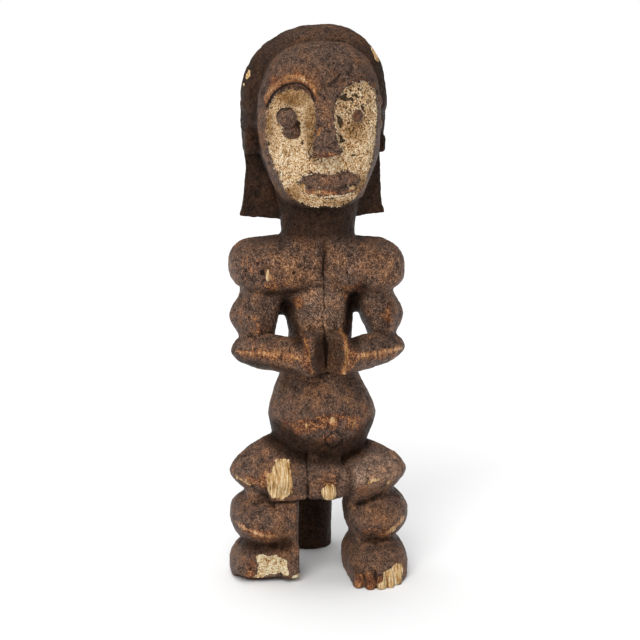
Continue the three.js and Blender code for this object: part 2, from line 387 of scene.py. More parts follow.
def carve_trunk(carving):
    carving.add(column([
        (106, 1, -2, 34, 34), (118, 1.5, -6, 40, 38), (132, 2, -10, 44, 45), (150, 3, -13, 48.5, 47),
        (161, 2.5, -12, 47, 46), (176, 1.5, -9, 40.5, 40), (191, 1, -6, 34, 34), (207, 1, -4, 30.5, 31),
        (223, 3, -2, 28.5, 31), (245, 2, 0, 32, 31), (262, 1, 0, 38, 32.5), (300, 0, 0, 46, 31),
    ]), blend=3)
    carving.add(lump((0, 0, 287), (58, 36, 26), below=25, power=2.6), blend=3)
    for side in SIDES:
        carving.add(lump((side * 38, 4, 272), (22, 30, 19), power=2.6), blend=3)
        carving.add(lump((side * 35, 9, 263), (22, 20, 24), power=2.8), blend=3)


def carve_arm(carving, side):
    drop = 3 if side > 0 else 0
    arm_x = 57.5 if side < 0 else 60
    elbow_x = 55 if side < 0 else 59
    elbow_radius = ELBOW_REACH - elbow_x
    carving.add(column([
        (205, side * elbow_x, -8, elbow_radius, 20), (222, side * elbow_x, -2, elbow_radius, 24),
        (250, side * 52, 0, 18, 25), (275, side * 48, 0, 20, 26),
    ], 2.6))
    carving.add(lump((side * 40.5, 0, 285 - drop), (38.5, 38, 26), below=21.5, power=2.7), blend=2.5)
    upper_arm = lump((side * arm_x, -1, 241 - drop), (ARM_REACH - arm_x, 34, 27), power=1.9, ends=1.4)
    carving.add(upper_arm, blend=3)
    past = block((-16, 16, -90, 0, 150), (-16, 16, -90, 0, 270))
    reach = (51.5, 18, 19) if side < 0 else (50.5, 18, 16.5)
    forearm = lump((side * 37, -39, 211), reach, below=14.5, power=1.75, ends=2.4, turn=(2, side * 0.68))
    carving.add(without(forearm, past), blend=3)


def carve_hands(carving):
    levels = ((197, 18, 19), (215, 24, 20), (231, 20, 20))
    carving.add(column([(z, 0, HANDS_Y, wide, deep) for z, wide, deep in levels], 4), blend=5)
    groove = [(-14, -66), (GROOVE_X, -47), (16.5, -66)]
    carving.cut(prism(groove, 192, 240, [(-13.5, -66), (GROOVE_X, -33), (17, -66)]), blend=1.5)


# Head, with the hood of hair that falls behind it

def carve_neck(carving):
    carving.add(column([
        (290, 0, 0, 34, 28), (304, 0, -4, 33, 30), (322, 0, -6, 33, 33), (347, 0, -7, 37, 34),
        (372, 0, -8, 42, 34),
    ]), blend=8)


def carve_hood(carving):
    carving.add(lump((-2, 14, HOOD_Z), (64, 50, 67), below=20, power=2.1))
    carving.add(lump((6, 6, HOOD_Z), (57.5, 38, 70), below=20, power=2.3), blend=4)
    curtain = column([
        (327, 0, 24, 66.5, 40), (340, 0, 22, 63.5, 40), (372, 0, 20, 61.5, 42), (400, -0.5, 17, 64, 46),
        (HOOD_Z, -1, 14, 65, 50),
    ])

    def open_front(x, y, z):
        """Below the chin the curtain hangs behind the neck, and slants back to its sides."""
        neck_side, neck_y, slant = 33, 4, 0.56
        face = neck_y + np.maximum(np.abs(x) - neck_side, 0) * slant
        return soft_max(curtain.distance(x, y, z), np.where(z < THROAT_TOP, face - y, -FAR), 1.0)

    carving.add(Form(curtain.low, curtain.high, open_front))
    carving.add(lump((-57, 5, 398), (8, 12, 11), power=5), blend=1.5)
    carving.add(lump((54, 5, 394), (8, 12, 8), power=5), blend=1.5)


def carve_head(carving):
    carving.add(lump((-1, -15, FACE_Z), (55, 46, 70), below=20, power=2.6), blend=1.5)
    carving.add(column([
        (346, 0, -14, 28, 41), (352, 0, -14, 35.5, 45), (362, 0, -14, 41.5, 46), (375, 0, -14, 47, 44),
        (388, 0, -14, 51.5, 43), (405, -0.5, -14, 54, 45), (FACE_Z, -1, -15, 55, 46),
    ], 2.6), blend=2)
    for side in SIDES:
        carving.cut(lump((side * 28 - 1, -68, 427), (21.5, 14, 25), power=2.4), blend=4)
        brow = [(7, -57.5, 443), (14, -59, 452), (27, -56.5, 457), (40, -49.5, 452), (50, -38, 436)]
        carving.add(ridge([(side * x, y, z) for x, y, z in brow], 2.6), blend=3)
    carve_features(carving)


def carve_features(carving):
    """The nose with its wings, the left peg eye on its stump, the right peg eye, and the lips."""
    carving.add(block((-14.5, 12, -69, -45, 393), (-7, 5, -57, -45, 448), rounding=4), blend=2.5)
    carving.add(lump((-1.5, -62, 398), (13.5, 9.5, 6), power=2.6), blend=3)
    carving.add(lump((-30.5, -52, 414.5), (8, 7.5, 7)), blend=1.5)
    carving.add(lump((-34, -54, 426), (8.5, 9.5, 8.8), power=2.4), blend=0.8)
    carving.add(lump((27, -54, 427), (6, 6.5, 6.5)), blend=1.5)
    carving.add(lump((2.5, -55, 371.5), (27, 6.5, 6), power=2.4), blend=2)
    carving.add(lump((5, -55, 362.5), (23, 5.5, 3.4), power=2.2), blend=1)


def carve_hollows(carving):
    """The valley down the chest, and the hollows beside it above the two arm windows."""
    carving.cut(lump((1, -45, 290), (5, 10, 32)), blend=5)
    carving.cut(lump((-29.5, -30, 243), (6.5, 22, 16)), blend=3)
    carving.cut(lump((30.5, -30, 247), (7, 22, 17)), blend=3)


def carve_figure():
    margin = 4 * PITCH
    low = (-HALF_WIDTH - margin, -FRONT_REACH - margin, -margin - PITCH / 2)
    carving = Carving(low, (HALF_WIDTH + margin, BACK_REACH + margin, HEIGHT + margin))
    for side in SIDES:
        carve_leg(carving, side)
    carve_hips(carving)
    carve_trunk(carving)
    for side in SIDES:
        carve_arm(carving, side)
    carve_hands(carving)
    carve_neck(carving)
    carve_hood(carving)
    carve_head(carving)
    carve_hollows(carving)
    floor_depth, span = 60, 2 * HALF_WIDTH
    carving.cut(block((-span, span, -span, span, -floor_depth), (-span, span, -span, span, 0)), blend=0.8)
    return carving


# Noise with grains of a given size in millimetres

def noise(points, size, seed):
    lattice = np.random.default_rng(seed).uniform(-1, 1, (NOISE_CELLS,) * 3)
    place = points / size
    base = np.floor(place).astype(int)
    part = place - base
    return read_between(lattice, base, part * part * (3 - 2 * part))


# Marks, each as millimetres inside it and below zero outside it. Their places are
# in (x, z), seen from the front.

def gap_to(points, start, end):
    """How far each point is from a straight stretch between two places."""
    x, z = points[:, 0] - start[0], points[:, 2] - start[1]
    way_x, way_z = end[0] - start[0], end[1] - start[1]
    part = np.clip((x * way_x + z * way_z) / (way_x ** 2 + way_z ** 2), 0, 1)
    return np.hypot(x - part * way_x, z - part * way_z)


def inside(points, outline):
    x, z = points[:, 0], points[:, 2]
    outline = np.array(outline, dtype=float)
    nearest = np.full(len(x), np.inf)
    within = np.zeros(len(x), dtype=bool)
    for start, end in zip(outline, np.roll(outline, -1, axis=0)):
        nearest = np.minimum(nearest, gap_to(points, start, end))
        if start[1] != end[1]:
            crosses = (start[1] > z) != (end[1] > z)
            way_x, way_z = end - start
            within ^= crosses & (x < start[0] + (z - start[1]) * way_x / way_z)
    return np.where(within, nearest, -nearest)


def spot(points, at, radii):
    share = np.hypot((points[:, 0] - at[0]) / radii[0], (points[:, 2] - at[1]) / radii[1])
    return (1 - share) * min(radii)


def stroke(points, line, half_width):
    path = smooth_path(line, STROKE_STEPS)
    nearest = np.full(len(points), np.inf)
    for start, end in zip(path, path[1:]):
        nearest = np.minimum(nearest, gap_to(points, start, end))
    return half_width - nearest


def deepest(points, outlines=(), strokes=(), spots=()):
    """Inside any of some outlines, strokes of (line, half width) and spots of (at, radii)."""
    depths = [inside(points, outline) for outline in outlines]
    depths += [stroke(points, line, half_width) for line, half_width in strokes]
    depths += [spot(points, at, radii) for at, radii in spots]
    return np.max(depths, axis=0)


def dent(points, at, radii):
    """Inside an egg-shaped place in (x, y, z)."""
    return (1 - np.linalg.norm((points - at) / radii, axis=1)) * min(radii)


def front_only(depth, points, limit=FRONT):
    """A mark without what lies farther back than a limit."""
    return np.minimum(depth, limit - points[:, 1])


def front_marks(points, outlines=(), strokes=(), spots=(), limit=FRONT):
    return front_only(deepest(points, outlines, strokes, spots), points, limit)


WHITE_FACE = [
    (-50, 430), (-50, 410), (-48, 397), (-44, 383), (-39, 374), (-35, 363), (-31, 357), (-23.5, 352),
    (-13, 348), (0, 347.6), (13, 348), (25.5, 354), (34, 364), (40, 377), (44, 395), (45, 413),
    (46, 432), (44, 446), (35, 456), (24, 456), (14, 450), (8, 440), (6, 428), (11, 394), (-15, 391),
    (-10, 428), (-12, 440), (-20, 450), (-32, 451), (-43, 445),
]
UPPER_LIP = [
    (-26, 369), (-21, 376), (-8, 379), (4, 377), (18, 379), (27, 376), (31, 369), (26, 365), (-20, 365),
]
LOWER_LIP = [(-24, 366), (-20, 360), (-6, 357.5), (12, 357.5), (25, 360), (30, 366)]
THIGH_PATCH = [
    (-52, 105), (-48.5, 106), (-46, 112), (-42, 117.5), (-32, 117.5), (-31, 100), (-31, 87), (-36, 84),
    (-40, 80), (-43, 83), (-48, 83), (-52, 88),
]
BROKEN_TOES = [
    (-62, 26), (-57, 27.5), (-50, 25), (-44, 26), (-39, 23), (-34, 22), (-32.6, 7), (-40, 8.5), (-49, 8),
    (-54, 6), (-63, 3.5), (-64, 5.5), (-61, 9), (-59.5, 17),
]
BROKEN_CORNER = [(-31, 6), (-26, 8), (-22, 9), (-20, 5), (-20, 0), (-26, 1)]
WORN_TOES = [(44, 0), (44, 5), (48, 8), (50.5, 13), (58, 16), (64, 19), (70, 17), (71, 8), (67, 1)]
EYE_GAPS = [
    [(10, 445), (16, 446), (21, 443), (26, 439), (20, 439), (13, 440)],
    [(8.5, 428), (12, 427), (15, 420), (13, 415), (10, 417)],
    [(10.5, 411), (14, 409), (16, 405), (14, 402), (11, 405)],
    [(11.5, 401), (14.5, 399), (14, 394), (12, 395)],
]
LEFT_BROW = [(-50, 438), (-46, 450), (-36, 459), (-25, 461.5), (-15, 457), (-10, 447)]
# A painted shadow under the left brow, drawn as a black line.
UNDER_LEFT_BROW = [(-50, 434), (-45, 446), (-35, 454), (-24, 456), (-15, 450), (-11, 440)]
HEAD_EDGE = [
    (-55, 440), (-53, 458), (-46, 474), (-34, 484), (-16, 488), (2, 488), (22, 485), (36, 477), (46, 464),
    (52, 448),
]
CHEVRON = [(-7, 464), (3, 453), (14, 465)]

# Worn bands, each a line and half its width
WORN_ARMS = [
    ([(-78, 213), (-69, 214), (-56, 216), (-43, 217), (-33, 217), (-26, 215)], 3.0),
    ([(28, 216), (44, 215), (60, 213), (73, 212)], 3.8),
    ([(-19, 230), (-17, 220), (-16, 210), (-14, 200)], 2.2),
    ([(15.5, 231), (16.5, 222), (16.5, 210), (15, 198)], 3.4),
]
WORN_FACE = [
    (LEFT_BROW, 2.8), ([(8, 447), (14, 457), (24, 462), (36, 460), (46, 451)], 1.3),
    ([(-34, 460), (-25, 461), (-17, 457), (-12, 450)], 3.6), ([(-15, 453), (-9, 443), (-7, 436)], 1.4),
    ([(-24, 363), (-10, 360), (4, 360), (16, 361), (27, 364)], 2.2),
    ([(-39, 373), (-34, 362), (-27, 355), (-18, 350)], 1.6), ([(-51, 436), (-51, 412), (-48, 396)], 1.0),
    ([(-9, 412), (-6, 418), (1, 420)], 2.2), ([(-12.5, 409), (-15, 396), (-8, 393), (11, 394)], 1.4),
    ([(20, 433), (27, 435), (33, 430), (33, 423)], 1.0),
]
WORN_BELLY = [
    ([(-6, 158), (4, 159.5), (14, 158)], 1.0), ([(-34, 151), (-30, 150), (-24, 146)], 1.0),
    ([(-20, 147), (-10, 152), (0, 153)], 1.6),
]
WORN_LEGS = [
    ([(-77, 56), (-67, 52), (-57, 49), (-50, 47)], 3.4), ([(-52, 51), (-51, 38)], 1.2),
    ([(-36, 50), (-34, 42)], 1.0), ([(-53, 110), (-52, 92)], 2.0), ([(58, 44), (65, 49), (73, 55)], 4.0),
    ([(27, 3), (36, 4), (48, 5)], 2.6), ([(31, 3), (32, 11)], 1.4), ([(40, 3), (41, 13)], 1.2),
    ([(-66, 20), (-66, 4), (-56, 1)], 1.2),
]


def bare_wood(points):
    """Where the crust is gone and pale wood shows, and a painted highlight in pale wood on top of the right
    thigh.
    """
    # The second stroke, on top of the right thigh, is a painted gloss highlight.
    strokes = [([(-78, 96), (-73, 93.5), (-66, 91.5)], 1.0), ([(38, 95), (43, 97), (48, 96)], 1.2)]
    spots = [
        ((2.5, 88.5), (6.5, 7.5)), ((-49, 284), (2.1, 4.8)), ((60, 90), (2.4, 2.2)), ((63, 47), (3, 3.4)),
        ((5, 156), (1.6, 2.4)), ((-18, 151), (1.3, 1.6)), ((24, 151), (1.2, 2.2)), ((-21, 365), (1.8, 3.6)),
        ((-8, 361.5), (1.8, 1.4)), ((23, 364), (2.6, 1.6)),
    ]
    outlines = [THIGH_PATCH, BROKEN_TOES, BROKEN_CORNER, WORN_TOES]
    chips = [
        dent(points, (51.5, -5, 474), (5, 8, 8.5)),
        dent(points, (-61, 6, 457), (4, 6, 4)),
        dent(points, (-63, 10, 447.5), (2, 3, 1.5)),
    ]
    return np.maximum(front_marks(points, outlines, strokes, spots), np.max(chips, axis=0))


def broken_across(points):
    """Where the pale wood is broken across its fibres and not along them."""
    return front_only(spot(points, (-46, 14), (26, 18)), points)


def white_clay(points):
    """The whitened face, without its lips and peg eyes."""
    left_eye = [((-34.3, 426), (8.5, 8.9)), ((-30.5, 414.5), (8.3, 7.2)), ((-29, 420), (6.5, 5))]
    eyes = deepest(points, spots=left_eye + [((27, 427), (5, 5.6))])
    kept_dark = np.maximum(deepest(points, [UPPER_LIP, LOWER_LIP]), 3 * eyes)
    covered = np.minimum(inside(points, WHITE_FACE), -kept_dark)
    nose_edge = stroke(points, [(8, 430), (10, 419), (12.5, 409)], 1.0)
    return front_only(np.maximum(covered, nose_edge), points)


def worn_edges(points):
    """Where hands and knocks have polished the crust down to orange wood."""
    strokes = WORN_ARMS + WORN_FACE + WORN_BELLY + WORN_LEGS
    spots = [
        ((-18, 151), (4, 4.4)), ((5, 155), (6.5, 5)), ((25, 151), (4, 6)), ((-75, 95), (10, 4)),
        ((60, 91), (6, 4)), ((2.5, 91), (7, 6)), ((-20, 254), (2.6, 9)), ((22, 262), (2.4, 5)),
    ]
    return front_marks(points, (), strokes, spots)


def rubbed(points):
    """Where the crust is thin and the red-brown of the wood comes through."""
    strokes = [([(-33, 149), (-18, 150), (5, 154), (28, 149)], 12), (LEFT_BROW, 4.5)]
    spots = [
        ((-60, 288), (18, 18)), ((-46, 275), (24, 12)), ((30, 268), (24, 10)), ((-21, 256), (9, 9)),
        ((22, 263), (7, 5)), ((-64, 236), (14, 16)), ((62, 246), (16, 14)), ((-50, 213), (30, 6)),
        ((50, 209), (26, 7)), ((6, 140), (22, 10)), ((-60, 94), (14, 14)), ((40, 90), (24, 11)),
        ((-58, 48), (24, 10)), ((48, 46), (24, 10)), ((-44, 456), (10, 10)), ((-2, 396), (12, 6)),
        ((40, 8), (30, 8)), ((-57, 398), (8, 10)), ((4, 100), (12, 16)), ((27, 427), (3, 3)),
        ((-20, 214), (8, 20)), ((21, 214), (8, 20)), ((-64, 14), (14, 12)), ((0, 361), (26, 5)),
    ]
    return front_marks(points, (), strokes, spots, 0)


def sooty(points):
    """Where the colour is darkest: a darker crust on hood, forehead, palms and rear post, and painted shade
    on the neck under the head and in the hollows in front.
    """
    y, z = points[:, 1], points[:, 2]
    hood = np.min([z - 324, 60 * ramp(y, -34, -18) - 40, 6 - 0.11 * (z - 450)], axis=0)
    # Painted shade on the neck, where the head shades it.
    neck = 12 - np.abs(z - 334) * 0.55
    forehead = np.min([z - 452, np.full(len(z), -1.6), -y], axis=0)
    palms = inside(points, [(-12, 240), (12, 240), (15, 212), (12, 196), (-12, 196)])
    palms = front_only(np.minimum(palms, 1.5), points, -36)
    post = np.minimum(y - 20, 90 - z)
    # Painted shade: in the chest valley, under the belly, under the left pec, under the left forearm, in the
    # crease above the left foot, beside the two arm windows, and between the lap and the right thigh.
    hollows = front_marks(points, limit=0, strokes=[
        ([(1, 316), (1, 288)], 3.5), ([(-42, 137), (-22, 127), (4, 123), (30, 127), (44, 138)], 14),
        ([(-46, 266), (-30, 265), (-14, 270)], 2.6), ([(-76, 204), (-50, 205), (-28, 201)], 4),
        ([(-70, 36), (-52, 34), (-34, 36)], 7), ([(-32, 263), (-28, 250), (-25, 228)], 6.5),
        ([(35, 270), (29, 250), (25, 228)], 7.5), ([(22, 110), (22, 84)], 3),
    ])
    return np.max([hood, neck, forehead, palms, post, hollows], axis=0)


def stained(points):
    """Where the white clay has gone ochre: in the sockets, beside the nose and round the mouth. Under the
    left brow and beside the nose the ochre is partly painted shade.
    """
    return front_marks(points, spots=[
        ((-30, 444), (20, 11)), ((-13, 420), (8, 28)), ((24, 414), (12, 10)), ((12, 351), (24, 4)),
        ((-48, 420), (5, 22)), ((-28, 359), (9, 9)), ((30, 366), (8, 12)),
    ])


def flaked(points):
    """Where the clay is densely pitted: round the right eye, along its border and on the chin."""
    border = 5 - inside(points, WHITE_FACE)
    places = deepest(points, spots=[((26, 432), (22, 26)), ((4, 352), (30, 5))])
    return front_only(np.maximum(border, places), points)


def gaps(points):
    """Black cracks, grooves and pits: the long check in the trunk, the chevron on the
    forehead, the ring at the navel, between the toes, and where clay has flaked off;
    and a painted shadow under the left brow."""
    x, z = points[:, 0], points[:, 2]
    check_low, check_high, check_half = 200, 304, 0.75
    check_x = 1.3 + 1.2 * noise(points * (0, 0, 1), 7, seed=18)
    check_ends = 0.2 * np.minimum(z - check_low, check_high - z)
    check = np.minimum(check_half - np.abs(x - check_x), check_ends)
    navel_x, navel_z, navel_radius, navel_half = 7, 136, 8, 1.0
    ring = np.hypot(x - navel_x, z - navel_z) + 1.6 * noise(points, 6, seed=19)
    navel = navel_half - np.abs(ring - navel_radius)
    # The first stroke is the painted shadow under the left brow.
    strokes = [
        (UNDER_LEFT_BROW, 1.2), ([(-22, 365.5), (-6, 364.8), (14, 365), (25, 366)], 0.5),
        ([(-18, 357), (0, 355.5), (20, 357)], 0.5), ([(-44, 226), (-42, 219), (-44, 209)], 0.5),
        ([(-16, 122), (-16.5, 100), (-15.5, 84)], 0.9), ([(-9, 464), (0, 453), (13, 463)], 0.4),
        ([(33.5, 1), (33.5, 10)], 0.6), ([(43, 1), (43.5, 15)], 0.7), ([(52.5, 1), (52.5, 14)], 0.6),
        ([(60.5, 1), (60.5, 13)], 0.6),
    ]
    spots = [
        ((-21, 404), (1.6, 2.4)), ((-48, 402), (1.2, 2.4)), ((24, 392), (2.6, 1.4)), ((31, 387), (1.2, 1.2)),
        ((-54, 287), (2.4, 3.4)), ((-26, 286), (1.8, 2.2)), ((-68, 288), (1.4, 1.6)), ((38, 99), (2, 1.2)),
    ]
    flakes = deepest(points, EYE_GAPS) + 1.6 * noise(points, 2, seed=20)
    depths = [check, navel, flakes, deepest(points, (), strokes, spots)]
    return front_only(np.max(depths, axis=0), points)


def dusty(points):
    """Where the crust is painted paler as painted light: on the abdomen and on top of the right thigh."""
    abdomen = np.minimum(spot(points, (0, 248), (24, 22)), 1.5)
    return front_only(np.maximum(abdomen, spot(points, (46, 102), (30, 15))), points, -10)


def coarse(points):
    """From 0 to 1, where the crust is roughest: from the waist up to the shoulders."""
    z = points[:, 2]
    return ramp(z, 185, 230) * (1 - ramp(z, 308, 322))


# Relief along the surface, in millimetres outwards

def relief(points):
    facets = 0.55 * noise(points, (12, 12, 16), seed=11) + 0.4 * noise(points, (6, 6, 8), seed=12)
    crust = 0.3 * noise(points, 3.2, seed=13) + 0.22 * noise(points, 1.9, seed=14)
    fibres = 0.35 * noise(points, (2.6, 30, 40), seed=15)
    end_grain = 0.4 * noise(points, 2.4, seed=16)
    ragged = 0.9 * noise(points, 3.2, seed=17)
    height = facets + crust

    bare = ramp(bare_wood(points) + ragged, -0.4, 0.8)
    broken = ramp(broken_across(points), -1, 1)
    height = height * (1 - bare) + (fibres * (1 - broken) + end_grain * broken - 0.7) * bare
    height -= 0.4 * ramp(white_clay(points) + 0.5 * ragged, -0.3, 0.6)
    height -= 0.9 * ramp(gaps(points), -0.8, 0.8)

    groove = np.exp(-(stroke(points, CHEVRON, 0) / 1.6) ** 2)
    rim = np.exp(-(stroke(points, HEAD_EDGE, 0) / 1.4) ** 2)
    height -= np.where(points[:, 1] < FRONT, 0.7 * groove, 0)
    height += np.where(points[:, 1] < FRONT, 0.9 * rim, 0)
    return height


# The mesh. It holds measures for the material, each with its function and the most it may
# be, and how crowded the wood is near by and farther off, each with its rounds of smoothing.

MEASURES = {
    "bare": (bare_wood, 4), "clay": (white_clay, 4), "worn": (worn_edges, 4), "rubbed": (rubbed, 6),
    "broken": (broken_across, 4), "stained": (stained, 4), "flaked": (flaked, 6), "gaps": (gaps, 4),
    "sooty": (sooty, 6), "coarse": (coarse, 1), "dusty": (dusty, 6),
}
CROWDING = {"tight": 3, "wide": 24}


def add_object(name, data):
    thing = bpy.data.objects.new(name, data)
    bpy.context.scene.collection.objects.link(thing)
    return thing


def decimated(mesh, ratio):
    """The same surface with fewer triangles, kept where it bends most."""
    holder = add_object("holder", mesh)
    modifier = holder.modifiers.new("fewer", "DECIMATE")
    modifier.ratio = ratio
    depsgraph = bpy.context.evaluated_depsgraph_get()
    result = bpy.data.meshes.new_from_object(holder.evaluated_get(depsgraph))
    bpy.data.objects.remove(holder)
    bpy.data.meshes.remove(mesh)
    return result


def mesh_of(points, faces):
    mesh = bpy.data.meshes.new("carved_surface")
    mesh.vertices.add(len(points))
    mesh.vertices.foreach_set("co", points.ravel())
    mesh.loops.add(faces.size)
    mesh.loops.foreach_set("vertex_index", faces.ravel())
    mesh.polygons.add(len(faces))
    mesh.polygons.foreach_set("loop_start", np.arange(len(faces)) * faces.shape[1])
    mesh.update(calc_edges=True)
    return mesh


def inside_node(places):
    return np.clip(places, np.array(NODE_LOW), np.array(NODE_HIGH))


def kept_inside_node(mesh):
    """Brings a mesh's points into the node's box, and gives their places from the log's axis."""
    flat = np.empty(3 * len(mesh.vertices))
    mesh.vertices.foreach_get("co", flat)
    places = inside_node(flat.reshape(-1, 3))
    mesh.vertices.foreach_set("co", places.ravel())
    return places / MM - (0, AXIS_Y, 0)


def add_measure(mesh, name, values):
    layer = mesh.attributes.new(name, "FLOAT", "POINT")
    layer.data.foreach_set("value", values.astype(np.float32))


def build_surface(carving):
    points, faces = carving.surface()
    slope = carving.slope(points)
    normals = slope / np.maximum(np.linalg.norm(slope, axis=1, keepdims=True), 1e-6)
    points = points + normals * relief(points)[:, None]
    mesh = mesh_of(inside_node((points + (0, AXIS_Y, 0)) * MM), faces)
    triangles = 2 * len(faces)
    if triangles > MOST_TRIANGLES:
        mesh = decimated(mesh, MOST_TRIANGLES / triangles)
    mesh.polygons.foreach_set("use_smooth", np.ones(len(mesh.polygons), dtype=bool))

    points = kept_inside_node(mesh)
    for name, (measure, limit) in MEASURES.items():
        add_measure(mesh, name, np.clip(measure(points), -limit, limit))
    for name, rounds in CROWDING.items():
        add_measure(mesh, name, carving.crowding(points, rounds))
    return mesh


# Material

def colour(code):
    """A shader colour from a six-figure screen colour."""
    parts = [int(code[i:i + 2], 16) / 255 for i in (0, 2, 4)]
    return tuple(p / 12.92 if p <= 0.04045 else ((p + 0.055) / 1.055) ** 2.4 for p in parts) + (1,)


class Nodes:
    """Short ways to add nodes to a tree, feed them with values and link them."""

    def __init__(self, tree):
        self.tree = tree

    def feed(self, sockets, values):
        for socket, value in zip(sockets, values):
            if isinstance(value, bpy.types.NodeSocket):
                self.tree.links.new(value, socket)
            else:
                socket.default_value = value

    def fill(self, node, **sockets):
        """Feeds a node's inputs by their names, with _ for a space."""
        self.feed([node.inputs[name.replace("_", " ")] for name in sockets], sockets.values())

    def node(self, kind, settings=(), **sockets):
        node = self.tree.nodes.new("ShaderNode" + kind)
        for name, value in dict(settings).items():
            setattr(node, name, value)
        self.fill(node, **sockets)
        return node

    def math(self, operation, *values):
        node = self.node("Math", {"operation": operation})
        self.feed(node.inputs, values)
        return node.outputs[0]


class Shader(Nodes):
    """Short names for the nodes of one material. Sizes of grains are in millimetres."""

    def __init__(self, name):
        self.material = bpy.data.materials.new(name)
        self.material.use_nodes = True
        super().__init__(self.material.node_tree)
        self.surface = self.tree.nodes["Principled BSDF"]
        self.parts = {}

    def most(self, first, *others):
        for other in others:
            first = self.math("MAXIMUM", first, other)
        return first

    def scale(self, value, amount):
        return self.math("MULTIPLY", value, amount)

    def sum(self, *values, **amounts):
        """The sum of an amount of each named part, and of other values."""
        scaled = [self.scale(self.parts[name], amount) for name, amount in amounts.items()]
        total, *others = *scaled, *values
        for value in others:
            total = self.math("ADD", total, value)
        return total

    def grain(self, size, seed=0.0, detail=3.0, roughness=0.6, stretch=1.0, depth=1.0):
        """Noise from about -1 to 1, drawn out along the log and, by depth, from front to back."""
        place = self.node("TexCoord").outputs["Object"]
        drawn = self.node("Mapping", Vector=place, Scale=(1, 1 / depth, 1 / stretch), Location=(seed,) * 3)
        texture = self.node(
            "TexNoise", Vector=drawn.outputs[0], Scale=1 / (size * MM), Detail=detail, Roughness=roughness)
        return self.math("MULTIPLY_ADD", texture.outputs["Fac"], 4.0, -2.0)

    def share(self, low, high, *values, **amounts):
        """A smooth rise from 0 to 1 while a sum goes from low to high."""
        total, rise = self.sum(*values, **amounts), {"interpolation_type": "SMOOTHSTEP"}
        return self.node("MapRange", rise, Value=total, From_Min=low, From_Max=high).outputs["Result"]

    def mix(self, factor, first, second):
        """A colour between two others."""
        node = self.node("Mix", {"data_type": "RGBA"})
        self.feed(node.inputs[:1] + node.inputs[6:8], (factor, first, second))
        return node.outputs[2]

    def blend(self, factor, first, second):
        """A number between two others."""
        node = self.node("Mix", {"data_type": "FLOAT"})
        self.feed(node.inputs[:1] + node.inputs[2:4], (factor, first, second))
        return node.outputs[0]

    def tones(self, value, *stops):
        """Colours along a run from -1 to 1, each stop a place and a screen colour."""
        node = self.node("ValToRGB", Fac=self.math("MULTIPLY_ADD", value, 0.5, 0.5))
        band = node.color_ramp.elements
        while len(band) < len(stops):
            band.new(0.5)
        for element, (place, code) in zip(band, stops):
            element.position = 0.5 + 0.5 * place
            element.color = colour(code)
        return node.outputs["Color"]


